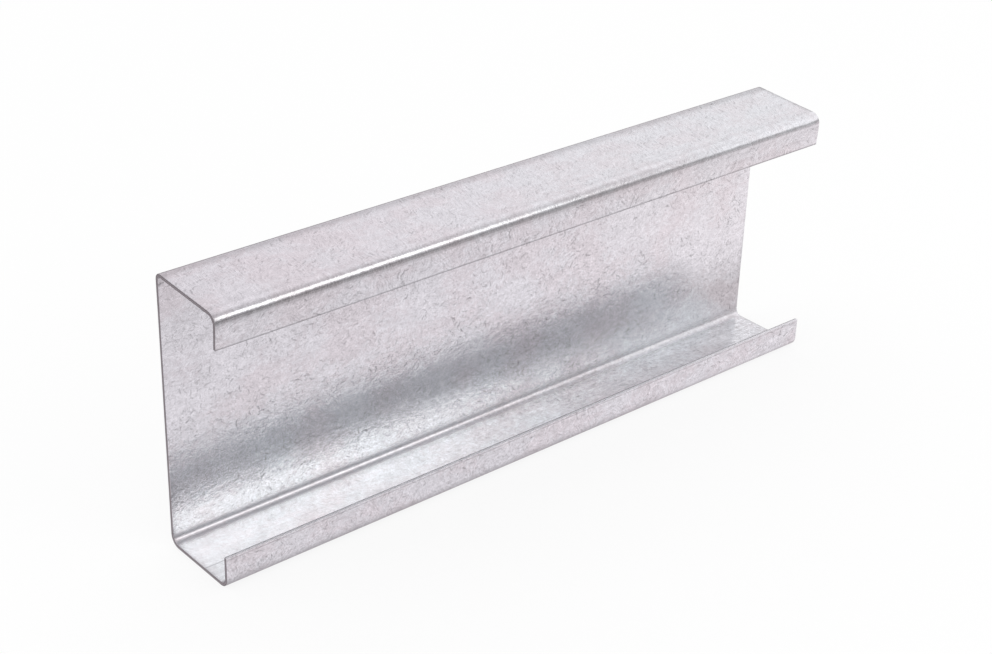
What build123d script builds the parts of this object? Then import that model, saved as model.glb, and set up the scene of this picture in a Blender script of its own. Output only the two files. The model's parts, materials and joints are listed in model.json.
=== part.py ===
from build123d import *
from math import cos, radians, sin
import os

# Driving dimensions in millimetres
web_height = 150.0          # outside height at the web
flange_width = 50.0         # outside of the web to outside of the lip
lip_length = 18.0           # outside of the flange to the lip's free edge
sheet_thickness = 2.0       # galvanised strip
inside_bend_radius = 4.0    # both lip bends and the web's bottom bend
inside_top_radius = 2.0     # the web's top bend is formed tighter than the others
top_toe_in = 3.0            # degrees that the top flange closes towards the bottom one
purlin_length = 400.0       # cut length

# Section corners before bending, along the outside of the strip
# The flange that toes in falls away from its bend, so its sharp corner lies a little above the web
outside_bend_radius = inside_bend_radius + sheet_thickness
outside_top_radius = inside_top_radius + sheet_thickness
toe_in = radians(top_toe_in)
corner_rise = outside_top_radius * ((1 + sin(toe_in)) / cos(toe_in) - 1)
web_y = flange_width / 2

top_web_corner = Vector(web_y, web_height + corner_rise)
top_lip_corner = top_web_corner + Vector(-flange_width, 0).rotate(Axis.Z, top_toe_in)
top_lip_edge = top_lip_corner + Vector(0, -lip_length).rotate(Axis.Z, top_toe_in)
bottom_web_corner = Vector(web_y, 0)
bottom_lip_corner = Vector(web_y - flange_width, 0)
bottom_lip_edge = bottom_lip_corner + Vector(0, lip_length)

# Cold-formed lipped C section: one strip with four bends and square cut ends
with BuildPart() as c_purlin:
    with BuildSketch(Plane.YZ):
        with BuildLine():
            FilletPolyline(
                top_lip_edge,
                top_lip_corner,
                top_web_corner,
                bottom_web_corner,
                bottom_lip_corner,
                bottom_lip_edge,
                radius=[
                    outside_bend_radius,
                    outside_top_radius,
                    outside_bend_radius,
                    outside_bend_radius,
                ],
            )
            offset(amount=sheet_thickness, side=Side.RIGHT)
        make_face()
    extrude(amount=purlin_length / 2, both=True)

c_purlin.part.label = "c_purlin"

os.makedirs("parts", exist_ok=True)
export_step(c_purlin.part, "parts/c_purlin.step")
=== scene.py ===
import json
import math
import bpy
import numpy as np
from mathutils import Matrix, Vector


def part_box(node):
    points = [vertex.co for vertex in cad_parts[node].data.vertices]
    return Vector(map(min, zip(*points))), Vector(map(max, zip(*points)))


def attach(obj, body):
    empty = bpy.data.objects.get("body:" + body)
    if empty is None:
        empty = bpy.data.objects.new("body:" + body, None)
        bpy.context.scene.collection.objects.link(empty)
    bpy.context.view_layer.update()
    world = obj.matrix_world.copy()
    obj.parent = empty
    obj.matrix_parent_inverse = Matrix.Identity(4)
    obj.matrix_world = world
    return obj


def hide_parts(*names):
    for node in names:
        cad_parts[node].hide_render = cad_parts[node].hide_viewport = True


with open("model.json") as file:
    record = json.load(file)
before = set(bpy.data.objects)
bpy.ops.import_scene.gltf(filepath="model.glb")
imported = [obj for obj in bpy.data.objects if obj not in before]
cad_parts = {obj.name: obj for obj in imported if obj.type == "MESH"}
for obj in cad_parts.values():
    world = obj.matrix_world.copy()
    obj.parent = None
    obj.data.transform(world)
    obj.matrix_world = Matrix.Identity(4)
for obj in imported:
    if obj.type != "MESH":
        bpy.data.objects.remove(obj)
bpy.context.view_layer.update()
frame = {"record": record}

scene = bpy.context.scene
scene.view_settings.view_transform = "Standard"
scene.cycles.glossy_bounces = 8  # the lips, the flanges and the web reflect each other
white = (1, 1, 1, 1)
quarter = math.pi / 2  # of a turn


# A wire is one output of a shader node, and arithmetic on wires adds the Math nodes
class Wire:
    def __init__(self, graph, socket):
        self.graph = graph
        self.socket = socket

    def __add__(self, other):
        return self.graph.maths("ADD", self, other)

    __radd__ = __add__

    def __sub__(self, other):
        return self.graph.maths("SUBTRACT", self, other)

    def __rsub__(self, other):
        return self.graph.maths("SUBTRACT", other, self)

    def __mul__(self, other):
        return self.graph.maths("MULTIPLY", self, other)

    __rmul__ = __mul__

    def __truediv__(self, other):
        return self.graph.maths("DIVIDE", self, other)

    def __neg__(self):
        return 0 - self

    def __abs__(self):
        return self.graph.maths("ABSOLUTE", self)

    def atLeast(self, limit):
        return self.graph.maths("MAXIMUM", self, limit)

    def atMost(self, limit):
        return self.graph.maths("MINIMUM", self, limit)

    def other(self, name):  # another output of the same node
        return Wire(self.graph, self.socket.node.outputs[name])


class Graph:
    def __init__(self, tree):
        self.tree = tree
        tree.nodes.clear()

    # Settings are set first, then each socket gets its value or its link
    def node(self, kind, settings=None, inputs=None, output=0):
        made = self.tree.nodes.new(kind)
        for name, value in (settings or {}).items():
            setattr(made, name, value)
        for name, value in (inputs or {}).items():
            if isinstance(value, Wire):
                self.tree.links.new(value.socket, made.inputs[name])
            else:
                made.inputs[name].default_value = value
        return Wire(self, made.outputs[output]) if made.outputs else None

    def maths(self, operation, *values):
        return self.node("ShaderNodeMath", {"operation": operation}, dict(enumerate(values)))

    def vectors(self, operation, *values):
        return self.node("ShaderNodeVectorMath", {"operation": operation}, dict(enumerate(values)))

    # Rises smoothly from 0 at low to 1 at high, or falls where low is the larger
    def ramp(self, value, low, high):
        return self.node("ShaderNodeMapRange", {"interpolation_type": "SMOOTHSTEP"},
                         {"Value": value, "From Min": low, "From Max": high})

    def mix(self, factor, first, second):
        return self.node("ShaderNodeMix", {"data_type": "FLOAT"}, {0: factor, 2: first, 3: second})

    def mixColours(self, factor, first, second):
        return self.node("ShaderNodeMix", {"data_type": "RGBA"},
                         {0: factor, 6: first, 7: second}, output=2)

    def mixShaders(self, factor, first, second):
        return self.node("ShaderNodeMixShader", {}, {0: factor, 1: first, 2: second})

    def scaled(self, vector, amount):  # a vector or a colour times one amount
        return self.node("ShaderNodeVectorMath", {"operation": "SCALE"}, {0: vector, "Scale": amount})

    def parts(self, vector):
        x = self.node("ShaderNodeSeparateXYZ", {}, {0: vector})
        return x, x.other("Y"), x.other("Z")

    def turned(self, vector, angle):
        return self.node("ShaderNodeVectorRotate", {"rotation_type": "Z_AXIS"},
                         {"Vector": vector, "Angle": angle})

    def attribute(self, name, output="Fac"):
        return self.node("ShaderNodeAttribute", {"attribute_name": name}, output=output)

    # 1 where the camera, a shiny surface or a clear one looks this way, and else 0
    def lookers(self):
        camera = self.node("ShaderNodeLightPath", output="Is Camera Ray")
        return camera, camera.other("Is Glossy Ray"), camera.other("Is Transmission Ray")

    # Noise whose lumps have the given sizes, in the unit of place
    def noise(self, place, sizes, detail=2.0, roughness=0.5):
        cells = self.vectors("MULTIPLY", place, [1 / size for size in sizes])
        return self.node("ShaderNodeTexNoise", {},
                         {"Vector": cells, "Scale": 1.0, "Detail": detail, "Roughness": roughness})

    # A random pattern of cells. Each has its own axes round its point, turned within the spread about the
    # lean, along lines that curl. Gives the place along and across them in cells, the distance from the
    # point and a chance from 0 to 1. A shift takes another part of the same pattern.
    def cells(self, place, cell, lean, spread, shift, curl=2.4):
        moved = self.vectors("ADD", place, (shift, shift * 0.7, 0))
        scaled = self.scaled(moved, 1 / cell)
        chances = self.node("ShaderNodeTexVoronoi", {"voronoi_dimensions": "2D"},
                            {"Vector": scaled, "Scale": 1.0}, output="Color")
        first, second, third = self.parts(chances)
        fromPoint = self.vectors("SUBTRACT", scaled, chances.other("Position"))
        along, across, _ = self.parts(self.turned(fromPoint, (first - 0.5) * spread + lean))
        across = across + along * along * (second - 0.5) * curl
        away = self.vectors("LENGTH", fromPoint)
        return along, across, away.other("Value"), third

    # One short stroke in a share of the cells. It fades out at its half length and round its half width,
    # both in cells.
    def strokes(self, place, cell, halves, lean, spread, share, shift):
        along, across, _, chance = self.cells(place, cell, lean, spread, shift)
        halfLength, halfWidth = halves
        onLine = self.ramp(abs(across), halfWidth * 1.5, halfWidth * 0.5)
        onLength = self.ramp(abs(along), halfLength, halfLength * 0.5)
        return onLine * onLength * self.ramp(chance, 1 - share, 1.0)

    # Patches of close curved lines, as a wiping cloth leaves them, about 0. Lines gives their length and
    # width in the unit of place. Each patch takes one of the layers of the noise, and fades out between
    # two distances from its point, in cells.
    def wipes(self, place, cell, lines, lean, spread, shift, layers=90, fade=(0.75, 0.2)):
        along, across, away, chance = self.cells(place, cell, lean, spread, shift)
        flat = self.node("ShaderNodeCombineXYZ", {},
                         {"X": along * cell, "Y": across * cell, "Z": chance * layers})
        return (self.noise(flat, (*lines, 1), detail=1) - 0.5) * self.ramp(away, *fade)


def newMaterial(name):
    material = bpy.data.materials.new(name)
    material.use_nodes = True
    return material, Graph(material.node_tree)


def addObject(name, data):
    added = bpy.data.objects.new(name, data)
    scene.collection.objects.link(added)
    return added


# The way out from the middle of the object, in degrees from -Y towards +X and above the floor
def outwards(turn, rise):
    turn = math.radians(turn)
    rise = math.radians(rise)
    level = math.cos(rise)
    return Vector((math.sin(turn) * level, -math.cos(turn) * level, math.sin(rise)))


# The strip, with the values that the frame doesn't give
purlin = {
    "lipLength": 0.018,             # outside of the flange to the free edge
    "insideBend": 0.004,            # both lip bends and the web's bottom bend
    "insideTopBend": 0.002,         # the web's top bend
    "edgeRounding": 0.00018,        # burnished corners of the slit edges and the cut ends
    "roundingSteps": 3,
    "bendSteps": 16,
    "flatStep": 0.0035,             # distance between the points of a flat
    "fewestSteps": 4,               # of a flat
    "lengthSteps": 110,
    "sharpAngle": 50,               # degrees between faces that meet in a sharp edge
    "ripple": 0.00006,              # how far the flats sink between their bends
    "rippleRise": 0.02,             # how far from a bend they sink fully
    # waves of the ripple: radians a metre along and across, then those of the slow wave's swelling and
    # where it starts, and for the quick wave where it starts and its height next to the slow one's
    "slowWave": (31, 22, 17, 1.1),
    "quickWave": (58, 71, 0.7, 0.4),
    "innerSheet": (900.0, 0.0, 400.0),  # how far the inner face's patterns lie from the outer's, in mm
}


def mountOf(name):
    return next(mount for mount in frame["record"]["mounts"] if mount["name"] == name)


lowest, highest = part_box("c_purlin")
length = highest.x - lowest.x
width = highest.y - lowest.y
height = mountOf("web_back")["pos_m"][2] * 2
thickness = mountOf("web_back")["pos_m"][1] - mountOf("web_inside")["pos_m"][1]
toeIn = math.asin(-mountOf("top_flange")["axis"][1])


# Middle line of the section: straight runs and bends follow each other from the bottom lip's free edge
# round to the top lip's. Each step turns by its share of the bend and goes on by the chord of its arc.
# Gives its points, the way out of the strip, the length so far and the distance from the nearest bend.
def middleLine():
    outside = purlin["insideBend"] + thickness
    topOutside = purlin["insideTopBend"] + thickness
    closing = topOutside * math.tan((quarter + toeIn) / 2)  # what the top bend takes off its flange
    runs = [
        (purlin["lipLength"] - outside, outside, quarter),
        (width - 2 * outside, outside, quarter),
        (height - outside - topOutside, topOutside, quarter + toeIn),
        (width - closing - outside, outside, quarter),
        (purlin["lipLength"] - outside, outside, 0.0),
    ]
    steps, turns, bends = [], [], []
    for straight, bendRadius, turn in runs:
        count = max(purlin["fewestSteps"], round(straight / purlin["flatStep"]))
        steps.append(np.full(count, straight / count))
        turns.append(np.zeros(count))
        bends.append(np.zeros(count))
        if turn:
            count = purlin["bendSteps"]
            share = turn / count
            steps.append(np.full(count, (2 * bendRadius - thickness) * math.sin(share / 2)))
            turns.append(np.full(count, share))
            bends.append(np.ones(count))
    steps, turns, bends = map(np.concatenate, (steps, turns, bends))
    heading = np.cumsum(turns) - quarter  # the lip starts straight down
    along = heading - turns / 2
    start = np.array([lowest.y + thickness / 2, purlin["lipLength"]])
    chords = steps[:, None] * np.stack([np.cos(along), np.sin(along)], 1)
    points = start + np.concatenate([np.zeros((1, 2)), np.cumsum(chords, axis=0)])
    heading = np.concatenate([[-quarter], heading])
    outward = np.stack([np.sin(heading), -np.cos(heading)], 1)
    developed = np.concatenate([[0.0], np.cumsum(steps)])
    bent = developed[1:][bends > 0]
    fromBend = np.min(np.abs(developed[:, None] - bent[None, :]), axis=1)
    return points, outward, developed, fromBend


# Close steps at both ends of a span for the rounded corner, with how much of the rounding the strip has
# lost at each place, from 1 at the very end to 0
def roundedEnds(places):
    corner = np.linspace(0, quarter, purlin["roundingSteps"] + 1)
    inset = purlin["edgeRounding"] * (1 - np.cos(corner))
    loss = 1 - np.sin(corner)
    first, last = places[0], places[-1]
    allPlaces = np.concatenate([first + inset, places[1:-1], last - inset[::-1]])
    allLoss = np.concatenate([loss, np.zeros(len(places) - 2), loss[::-1]])
    return allPlaces, allLoss


# From 0 to 1: a slow wave that swells and fades along the strip, plus a quick one that crosses it
def ripples(along, across):
    slowAlong, slowAcross, swell, swellStart = purlin["slowWave"]
    quickAlong, quickAcross, quickStart, share = purlin["quickWave"]
    slow = np.sin(along * slowAlong + across * slowAcross) * np.cos(along * swell - swellStart)
    quick = np.sin(along * quickAlong - across * quickAcross + quickStart) * share
    return (slow + quick + 1 + share) / (2 + 2 * share)


# Six times the volume is the sum of every triangle's triple product with the origin
def signedVolume(vertices, faces):
    a, b, c, d = (vertices[faces[:, corner]] for corner in range(4))
    return (np.cross(a, b) * c).sum() + (np.cross(a, c) * d).sum()


def quads(grid):
    return np.stack([grid[:-1, :-1], grid[1:, :-1], grid[1:, 1:], grid[:-1, 1:]], -1).reshape(-1, 4)


# A value for each point or face, or a vector for each, that the material reads
def keep(mesh, name, domain, values):
    kind, field = ("FLOAT_VECTOR", "vector") if values.ndim == 2 else ("FLOAT", "value")
    mesh.attributes.new(name, kind, domain).data.foreach_set(field, values.astype(float).ravel())


# The whole strip: the middle line goes along X, and both faces stand half a thickness off it, less where
# the edges are rounded. The ripples sink the flats a little, always towards the middle of the strip.
def makePurlin():
    points, outward, developed, fromBend = middleLine()
    across, acrossLoss = roundedEnds(developed)
    along, alongLoss = roundedEnds(np.linspace(-length / 2, length / 2, purlin["lengthSteps"] + 1))

    def spread(values):
        columns = values.reshape(len(values), -1).T
        return np.stack([np.interp(across, developed, column) for column in columns], 1)

    middle = spread(points)
    normal = spread(outward)
    normal /= np.linalg.norm(normal, axis=1, keepdims=True)
    bendAway = spread(fromBend)[:, 0]
    slitAway = np.minimum(across, developed[-1] - across)

    corners = np.maximum(alongLoss[:, None], acrossLoss[None, :])
    half = thickness / 2 - purlin["edgeRounding"] * corners
    grown = np.clip(bendAway / purlin["rippleRise"], 0, 1)
    sink = purlin["ripple"] * grown[None, :] * ripples(along[:, None], across[None, :])

    def face(side):
        offset = side * (half - sink)
        yz = middle[None, :, :] + offset[:, :, None] * normal[None, :, :]
        x = np.broadcast_to(along[:, None, None], yz.shape[:2] + (1,))
        return np.concatenate([x, yz], 2).reshape(-1, 3)

    rows, columns = len(along), len(across)
    vertices = np.concatenate([face(1.0), face(-1.0)])
    outer = np.arange(rows * columns).reshape(rows, columns)
    inner = outer + rows * columns
    skins = np.concatenate([quads(outer), quads(inner)[:, ::-1]])
    slit = np.concatenate([quads(np.stack([inner[:, 0], outer[:, 0]], 1)),
                           quads(np.stack([outer[:, -1], inner[:, -1]], 1))])
    cut = np.concatenate([quads(np.stack([inner[0], outer[0]], 0)),
                          quads(np.stack([outer[-1], inner[-1]], 0))])
    faces = np.concatenate([skins, slit, cut])
    if signedVolume(vertices, faces) < 0:
        faces = faces[:, ::-1]

    mesh = bpy.data.meshes.new("purlinStrip")
    mesh.from_pydata(vertices.tolist(), [], faces.tolist())
    mesh.shade_smooth()
    mesh.set_sharp_from_angle(angle=math.radians(purlin["sharpAngle"]))

    # Where each point lies on the flat strip, how far it is from the slit edges and from the bends, all in
    # millimetres, and which face of the strip it is on
    flat = np.stack([*np.meshgrid(along, across, indexing="ij"), np.zeros((rows, columns))], -1)
    flat = flat.reshape(-1, 3) * 1000
    keep(mesh, "stripPlace", "POINT", np.concatenate([flat, flat + purlin["innerSheet"]]))
    keep(mesh, "slitAway", "POINT", np.tile(slitAway * 1000, 2 * rows))
    keep(mesh, "bendAway", "POINT", np.tile(bendAway * 1000, 2 * rows))
    keep(mesh, "side", "POINT", np.repeat([1, -1], rows * columns))
    keep(mesh, "slit", "FACE", np.repeat([0, 1, 0], [len(skins), len(slit), len(cut)]))
    keep(mesh, "cut", "FACE", np.repeat([0, 0, 1], [len(skins), len(slit), len(cut)]))
    mesh.update()

    piece = addObject("galvanisedStrip", mesh)
    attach(piece, "root")
    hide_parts("c_purlin")
    return piece


# The coating, with sizes and places in millimetres on the flat strip. Names that end in At, Along, From
# or To give two places, where something begins and where it is full.
zinc = {
    "rosy": (0.820, 0.813, 0.829, 1),
    "cool": (0.796, 0.819, 0.836, 1),
    "coolAt": (0.62, 0.86),         # how thick the clouds are where rosy turns cool
    "mottleInTint": 0.5,
    "webInTint": 0.035,             # the web turns cool a little sooner
    "roughness": 0.165,
    "mottleInRoughness": 0.12,
    "strokesInRoughness": 0.10,
    "roughnessAtBends": 0.15,
    "roughnessAtCuts": 0.45,
    "haze": 0.16,                   # share of the light that the zinc scatters widely
    "hazeInBends": 0.62,            # inside the bends, where the rolls have crushed it
    "hazeRoughness": 0.50,

    # the cut ends: plain steel, lightest in the middle of the strip, and grained
    "cutSteel": (0.42, 0.395, 0.41),
    "cutLevel": 0.75,
    "cutMiddle": 0.40,
    "cutMiddleAt": (0.9, 0.2),      # between the faces at 1 and the middle at 0
    "cutGrain": 0.4,
    # the slit edges keep some zinc, darker towards the inner face at -1
    "slitLevel": 0.40,
    "slitGain": 0.80,
    "slitGainAt": (-0.75, -0.35),

    # cloudy zinc, from hand-sized patches down to the grain, and the lines that the strip was drawn in.
    # Each has its size along, across and through the strip, its finer layers and their strength, and what
    # it gives to the shade and to the relief.
    "patterns": {
        "cloud": {"size": (34, 24, 24), "detail": 3, "finer": 0.5, "shade": 0.24, "relief": 0},
        "blotch": {"size": (11, 8, 8), "detail": 2, "finer": 0.5, "shade": 0.20, "relief": 2.7},
        "mottle": {"size": (3.6, 2.8, 2.8), "detail": 3, "finer": 0.6, "shade": 0.44, "relief": 1.7},
        "grain": {"size": (0.9, 0.7, 0.7), "detail": 2, "finer": 0.6, "shade": 0.38, "relief": 0.6},
        "drawn": {"size": (160, 1.3, 20), "detail": 3, "finer": 0.5, "shade": 0.08, "relief": 0.15},
    },
    "drawnInTrough": 0.22,          # what more the drawn lines give to the shade inside the flanges

    # handling strokes: the size of their cells, half their length and half their width in cells, the share
    # of cells with a stroke, how dark they are, and a shift that keeps the kinds apart
    "darkStrokes": [
        (1.5, (0.50, 0.16), 0.90, 0.50, 0),
        (3.0, (0.50, 0.11), 0.85, 0.55, 31),
        (5.5, (0.45, 0.07), 0.75, 0.75, 57),
    ],
    "lightStrokes": (2.2, (0.50, 0.14), 0.90, 0.10, 83),
    "strokeShade": 0.42,
    "strokeRelief": 0.5,
    "strokesLostAtBends": 0.8,
    "strokesLostInTrough": 0.5,
    # wiping marks: the size of their patches, the length and width of their lines, and a shift
    "wipes": [(9.0, (5.0, 0.8), 11), (12.0, (8.0, 1.0), 47)],
    "wipeShade": 0.50,
    "wipeRelief": 0.8,
    # off the flanges and on them, in radians: how far strokes and wiping marks turn both ways together,
    # and their lean
    "spread": (6.28, 1.3),
    "lean": (0.0, 1.05),
    "waver": 0.9,                   # how far they waver, and over what size
    "waverSize": 3.0,
    "scuffSize": 22,                # patches with more strokes, and the share of strokes between them
    "scuffedAt": (0.34, 0.62),
    "unscuffed": 0.3,

    "outsideCalm": 0.28,            # how much less all these show on the outside of the flanges
    "webCalm": 1.5,                 # the same on the web's outside, next to the flanges'
    "troughCalm": (0.3, -0.5),      # and inside the flanges, near -X and beyond the middle
    "troughCalmAt": (-180, 60),     # along X
    "relief": 0.000036,             # depth in metres of a pattern whose relief is 1
    "webRelief": 0.75,              # how much deeper it is on the web
    "webGrainRelief": 0.48,         # what the web adds for the grain
    "troughRelief": 0.5,            # how much shallower it is inside the flanges

    # parts of the strip: from the nearer slit edge, from the bends, and across from the bottom slit edge
    "flangeAt": (16, 20),
    "webAt": (62, 66),
    "bendAt": (0.5, 0.0),
    "topHalfAt": (60, 200),

    # how much darker each mark is, and its places
    "rollerLines": 0.35,            # lengthwise lines beside the bends
    "rollerLinesAt": (4.5, 0.5),
    "drawnAtRollers": 0.35,         # the level of the drawn lines that leaves the shade as it is
    "crest": 0.20,                  # painted shade on the crests of the lip bends, which dims their highlight, less towards +X
    "crestAt": (18.4, 16.6),
    "crestAlong": (190, 20),
    "back": 0.20,                   # painted shade along the web's top bend, on the outside
    "backFrom": (200, 206),
    "backTo": (217, 211),
    "lowLine": 0.22,                # the slitter's line along the bottom edge, and its place
    "lowLineMiddle": 1.0,
    "lowLineAt": (0.6, 0.2),
    "highLine": 0.46,               # and along the top edge
    "highLineAt": (1.3, 0.3),
    "lipEdge": 0.06,                # the outside of the bottom lip towards its edge
    "lipEdgeAt": (8, 2),
    "lipsInside": -0.10,            # lighter inside the lips: painted light that lifts their shade and its reflection in the web
    "dust": 0.09,                   # along the bottom lip, in the trough
    "dustAt": (48, 24),
    "webFoot": 0.07,                # painted shade on the inside of the web just above its bottom bend
    "webFootAt": (100, 80),
    "webFootAbove": (2.6, 0.2),
    "scoring": 0.25,                # a guide has scored the near end of the bottom flange
    "scoringAlong": (-174, -184),
    "scoringFrom": (20, 24),
    "scoringTo": (34, 33),
    "scoringLine": 33.5,            # the guide's own edge
    "scoringLineAt": (0.6, 0.2),
    "stripes": 0.56,                # how dark the stripes are next to that edge's line
    "stripeSize": (60, 0.45, 1),
    "stripesAt": (0.45, 0.60),
}


def galvanisedMaterial():
    material, g = newMaterial("galvanisedSteel")
    place = g.attribute("stripPlace", "Vector")
    slitAway = g.attribute("slitAway")
    bendAway = g.attribute("bendAway")
    side = g.attribute("side")
    slit = g.attribute("slit")
    cut = g.attribute("cut")

    # Parts of the strip, each 1 there and 0 elsewhere
    alongSheet, across, _ = g.parts(place)
    inside = g.ramp(side, 0.2, -0.2)
    outside = 1 - inside
    alongX = alongSheet - inside * purlin["innerSheet"][0]
    bend = g.ramp(bendAway, *zinc["bendAt"])
    web = g.ramp(slitAway, *zinc["webAt"])
    flange = g.ramp(slitAway, *zinc["flangeAt"]) * (1 - web)
    trough = inside * flange
    topHalf = g.ramp(across, *zinc["topHalfAt"])

    patterns = zinc["patterns"]
    noises = {}
    for name, pattern in patterns.items():
        noises[name] = g.noise(place, pattern["size"], pattern["detail"], pattern["finer"])
    cloud, mottle, grain, drawn = (noises[name] for name in ("cloud", "mottle", "grain", "drawn"))

    # Strokes and wiping marks lie mostly one way on the flanges and every way elsewhere
    spread = g.mix(flange, *zinc["spread"])
    lean = g.mix(flange, *zinc["lean"])
    waver = g.noise(place, (zinc["waverSize"],) * 3, detail=1).other("Color")
    wavy = g.vectors("ADD", place, g.scaled(waver, zinc["waver"]))

    def strokes(cell, halves, share, shade, shift):
        return g.strokes(wavy, cell, halves, lean, spread, share, shift) * shade

    scuffed = g.ramp(g.noise(place, (zinc["scuffSize"],) * 3), *zinc["scuffedAt"])
    dark = sum(strokes(*values) for values in zinc["darkStrokes"])
    dark = dark * g.mix(scuffed, zinc["unscuffed"], 1.0)
    dark = dark * (1 - bend * zinc["strokesLostAtBends"]) * (1 - trough * zinc["strokesLostInTrough"])
    light = strokes(*zinc["lightStrokes"])
    wiped = sum(g.wipes(place, cell, lines, lean, spread, shift) for cell, lines, shift in zinc["wipes"])

    vary = sum((noises[name] - 0.5) * pattern["shade"] for name, pattern in patterns.items())
    vary = vary + wiped * zinc["wipeShade"] + light - dark * zinc["strokeShade"]
    vary = vary + trough * (drawn - 0.5) * zinc["drawnInTrough"]
    calm = outside * (flange + web * zinc["webCalm"]) * zinc["outsideCalm"]
    calm = calm + trough * g.mix(g.ramp(alongX, *zinc["troughCalmAt"]), *zinc["troughCalm"])
    level = 1.0 + vary * (1 - calm)

    stripes = g.ramp(g.noise(place, zinc["stripeSize"], detail=1), *zinc["stripesAt"])
    stripes = stripes * g.ramp(across, *zinc["scoringTo"]) * zinc["stripes"]
    guideEdge = g.ramp(abs(across - zinc["scoringLine"]), *zinc["scoringLineAt"])
    scored = inside * g.ramp(alongX, *zinc["scoringAlong"]) * g.ramp(across, *zinc["scoringFrom"])
    rolled = g.ramp(bendAway, *zinc["rollerLinesAt"]) * (1 - bend)
    # painted shade on the web just above its bottom bend
    webFoot = g.ramp(across, *zinc["webFootAt"]) * g.ramp(bendAway, *zinc["webFootAbove"])
    marks = {
        "rollerLines": rolled * (drawn - zinc["drawnAtRollers"]),
        # painted shade on the crests of the lip bends, dimming their highlight
        "crest": outside * bend * g.ramp(slitAway, *zinc["crestAt"]) * g.ramp(alongX, *zinc["crestAlong"]),
        # painted shade along the outside of the web's top bend
        "back": outside * g.ramp(across, *zinc["backFrom"]) * g.ramp(across, *zinc["backTo"]),
        "lowLine": (1 - topHalf) * g.ramp(abs(slitAway - zinc["lowLineMiddle"]), *zinc["lowLineAt"]),
        "highLine": topHalf * g.ramp(slitAway, *zinc["highLineAt"]),
        "lipEdge": outside * g.ramp(across, *zinc["lipEdgeAt"]),
        # painted light inside the lips, lifting their shade and its reflection in the web
        "lipsInside": inside * (1 - web) * (1 - flange),
        "dust": trough * g.ramp(across, *zinc["dustAt"]),
        "webFoot": inside * web * webFoot,
        "scoring": scored * (stripes + guideEdge),
    }
    for name, mark in marks.items():
        level = level * (1 - mark * zinc[name])

    clouds = cloud + mottle * zinc["mottleInTint"] + web * zinc["webInTint"]
    tint = g.mixColours(g.ramp(clouds, *zinc["coolAt"]), zinc["rosy"], zinc["cool"])
    cutMiddle = g.ramp(abs(side), *zinc["cutMiddleAt"]) * zinc["cutMiddle"]
    cutLevel = zinc["cutLevel"] + cutMiddle + (grain - 0.5) * zinc["cutGrain"]
    sheared = g.scaled(zinc["cutSteel"], cutLevel)
    slitEdge = g.scaled(tint, zinc["slitLevel"] + g.ramp(side, *zinc["slitGainAt"]) * zinc["slitGain"])
    colour = g.mixColours(cut, g.scaled(tint, level), sheared)
    colour = g.mixColours(slit, colour, slitEdge)

    roughness = zinc["roughness"] + (mottle - 0.5) * zinc["mottleInRoughness"]
    roughness = roughness + dark * zinc["strokesInRoughness"]
    roughness = g.mix(bend, roughness, zinc["roughnessAtBends"])
    roughness = g.mix(cut.atLeast(slit), roughness, zinc["roughnessAtCuts"])

    relief = wiped * zinc["wipeRelief"] - dark * zinc["strokeRelief"] + grain * web * zinc["webGrainRelief"]
    for name, pattern in patterns.items():
        if pattern["relief"]:
            relief = relief + noises[name] * pattern["relief"]
    relief = relief * (1 + web * zinc["webRelief"]) * (1 - trough * zinc["troughRelief"])
    bump = g.node("ShaderNodeBump", {}, {"Height": relief, "Strength": 1.0, "Distance": zinc["relief"]})

    surface = {"Base Color": colour, "Metallic": 1.0, "Normal": bump}
    clear = g.node("ShaderNodeBsdfPrincipled", {}, {**surface, "Roughness": roughness})
    hazy = g.node("ShaderNodeBsdfPrincipled", {}, {**surface, "Roughness": zinc["hazeRoughness"]})
    haze = g.mix(bend * inside, zinc["haze"], zinc["hazeInBends"])
    g.node("ShaderNodeOutputMaterial", {}, {"Surface": g.mixShaders(haze, clear, hazy)})
    return material


# Names that end in At give two places between which something changes, in metres on the floor and as
# parts of a direction of length 1 in the sky
studio = {
    "floorHalf": 6.0,
    "floorWhite": (0.95, 0.95, 0.95, 1),
    "floorPlain": 0.84,             # share of the floor that the camera sees as plain white
    "floorPlainMirrored": 0.95,     # and that the metal sees as paper
    "floorReflected": 0.93,         # how bright that paper is
    "floorGain": 0.21,              # how much brighter it gets per metre towards +X
    "floorBrightest": 1.15,
    # where the paper is darker: between two places on the camera's side, by a share
    "floorShades": [
        # the first two are the purlin's shadow, painted on the paper; the others are painted shade as it
        # runs into the dark room
        (0.0275, 0.0245, 0.25),
        (0.065, 0.03, 0.12),
        (0.08, 0.16, 0.155),
        (0.22, 0.70, 0.50),
    ],
    "floorTint": (1.036, 0.962, 1.011, 1),
    "floorWarm": (1.047, 0.960, 0.996, 1),
    "floorWarmAt": (0.10, 0.32),    # towards +X
    "skyTint": (1.041, 0.960, 1.010, 1),
    "skyFarTint": (1.014, 0.986, 1.014, 1),
    "skyFarAt": (0.49, 0.72),       # towards +X
    "skyLevel": (0.605, 0.478),     # to the side, and the change towards +X
    "skyLimits": (0.65, 1.03),
    "horizonLevel": (0.28, 0.45),   # on the camera's side, and towards +X
    "horizonTop": (0.18, 0.37),
    "gapLevel": (0.67, 0.86),       # the sky round the softbox, in the same two places
    "towardsX": (0.46, 0.66),       # where the first of the two goes over into the second
    "gapFarGain": 0.24,             # how much brighter the gap gets beyond the second
    "gapFarAt": (0.655, 0.71),
    "gapLean": (0.0, 0.5),          # lean to the camera's side at which the sky becomes the gap
    "lowestRise": 0.01,
    "keyTurn": 26.8,                # degrees from -Y towards +X
    "keyRise": 39.0,
    "keyDistance": 1.5,
    "keySize": (0.79, 0.55),
    "keyRadiance": 1.18,
    "keyColour": (1.0, 0.995, 0.968),
}


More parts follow.
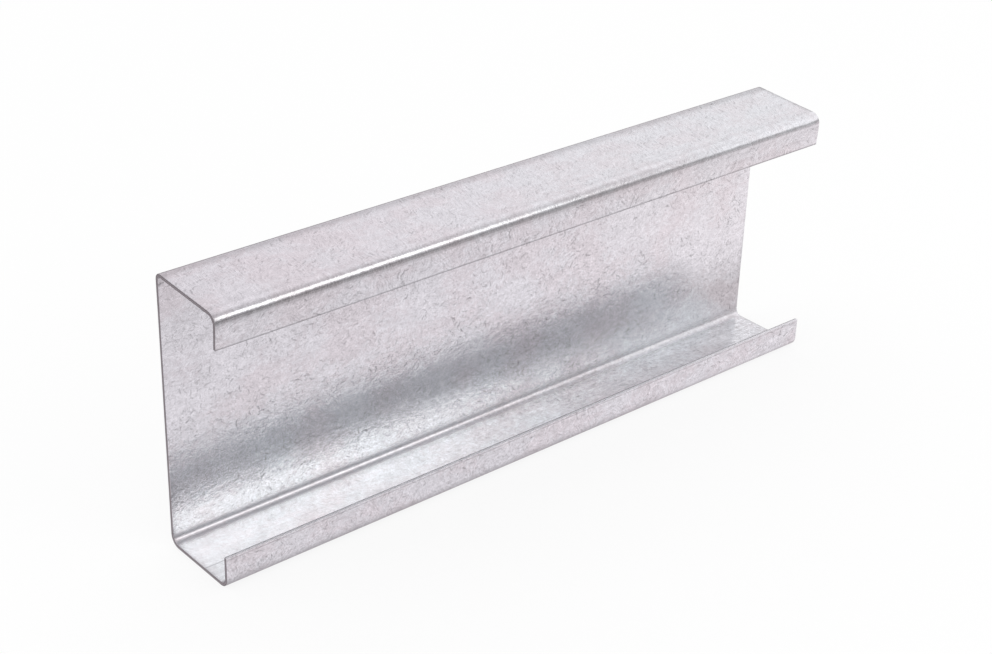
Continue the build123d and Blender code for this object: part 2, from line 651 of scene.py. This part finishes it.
def makeFloor():
    mesh = bpy.data.meshes.new("floor")
    r = studio["floorHalf"]
    mesh.from_pydata([(-r, -r, 0), (r, -r, 0), (r, r, 0), (-r, r, 0)], [], [(0, 1, 2, 3)])
    addObject("floor", mesh)
    material, g = newMaterial("paleFloor")
    x, y, _ = g.parts(g.node("ShaderNodeTexCoord", output="Object"))
    camera, mirrored, clear = g.lookers()
    seen = (camera + mirrored + clear).atMost(1.0)
    # The metal sees a sheet of paper that runs into the dark of the room on the camera's side
    paper = studio["floorReflected"] + x * studio["floorGain"]
    # painted shadow of the purlin next to it, and painted shade further off
    for shadeFrom, shadeTo, share in studio["floorShades"]:
        paper = paper * (1 - g.ramp(-y, shadeFrom, shadeTo) * share)
    tint = g.mixColours(g.ramp(x, *studio["floorWarmAt"]), studio["floorTint"], studio["floorWarm"])
    plain = g.node("ShaderNodeEmission", {}, {
        "Color": g.mixColours(mirrored, white, tint),
        "Strength": g.mix(mirrored, 1.0, paper.atMost(studio["floorBrightest"])),
    })
    lit = g.node("ShaderNodeBsdfDiffuse", {}, {"Color": studio["floorWhite"]})
    plainShare = seen * g.mix(mirrored, studio["floorPlain"], studio["floorPlainMirrored"])
    g.node("ShaderNodeOutputMaterial", {}, {"Surface": g.mixShaders(plainShare, lit, plain)})
    mesh.materials.append(material)


def makeWorld():
    world = bpy.data.worlds.new("studio")
    world.use_nodes = True
    scene.world = world
    g = Graph(world.node_tree)
    x, y, z = g.parts(g.node("ShaderNodeTexCoord", output="Generated"))
    camera, mirrored, clear = g.lookers()
    seen = (camera + clear).atMost(1.0)
    darkest, brightest = studio["skyLimits"]
    level, gain = studio["skyLevel"]
    sky = (level + x * gain).atLeast(darkest).atMost(brightest)
    towardsX = g.ramp(x, *studio["towardsX"])
    horizon = g.mix(towardsX, *studio["horizonLevel"])
    gap = g.mix(towardsX, *studio["gapLevel"])
    gap = gap + g.ramp(x, *studio["gapFarAt"]) * studio["gapFarGain"]
    lean = -y / z.atLeast(studio["lowestRise"])  # to the camera's side
    above = g.mix(g.ramp(lean, *studio["gapLean"]), sky, gap)
    reflected = g.mix(g.ramp(z, *studio["horizonTop"]), horizon, above)
    strength = g.mix(mirrored, 1.0, reflected)  # the floor is lit evenly
    tint = g.mixColours(g.ramp(x, *studio["skyFarAt"]), studio["skyTint"], studio["skyFarTint"])
    light = g.node("ShaderNodeBackground", {}, {
        "Color": g.mixColours(mirrored, white, tint),
        "Strength": g.mix(seen, strength, 1.0),
    })
    g.node("ShaderNodeOutputWorld", {}, {"Surface": light})


def makeLights():
    data = bpy.data.lights.new("softbox", "AREA")
    data.shape = "RECTANGLE"
    data.size, data.size_y = studio["keySize"]
    # an area lamp of power P and area A shows a radiance of P / (pi A)
    data.energy = studio["keyRadiance"] * math.pi * data.size * data.size_y
    data.color = studio["keyColour"]
    softbox = addObject("softbox", data)
    towards = outwards(studio["keyTurn"], studio["keyRise"])
    softbox.location = towards * studio["keyDistance"]
    softbox.rotation_euler = towards.to_track_quat("Z", "Y").to_euler()
    softbox.visible_camera = False


view = {
    "lookAt": (0.0056, 0.0230, 0.0554),  # a point on the inside of the web
    "distance": 1.0418,
    "turn": -40.99,                      # degrees from -Y towards +X
    "rise": 28.13,                       # degrees above the floor
    "roll": -1.81,
    "lens": 69.88,
}


def makeCamera():
    data = bpy.data.cameras.new("camera")
    data.lens = view["lens"]
    data.sensor_width = 36.0
    data.clip_start = 0.01
    data.clip_end = 50.0
    camera = addObject("camera", data)
    back = outwards(view["turn"], view["rise"])
    levelRight = Vector((0, 0, 1)).cross(back).normalized()
    levelUp = back.cross(levelRight)
    roll = math.radians(view["roll"])
    right = levelRight * math.cos(roll) - levelUp * math.sin(roll)
    up = levelRight * math.sin(roll) + levelUp * math.cos(roll)
    place = Vector(view["lookAt"]) + back * view["distance"]
    axes = Matrix((right, up, back)).transposed().to_4x4()
    camera.matrix_world = Matrix.Translation(place) @ axes
    scene.camera = camera


makeCamera()
print("camera is set")
strip = makePurlin()
strip.data.materials.append(galvanisedMaterial())
print("purlin has", len(strip.data.polygons), "faces")
makeFloor()
makeWorld()
makeLights()
print("studio is set")
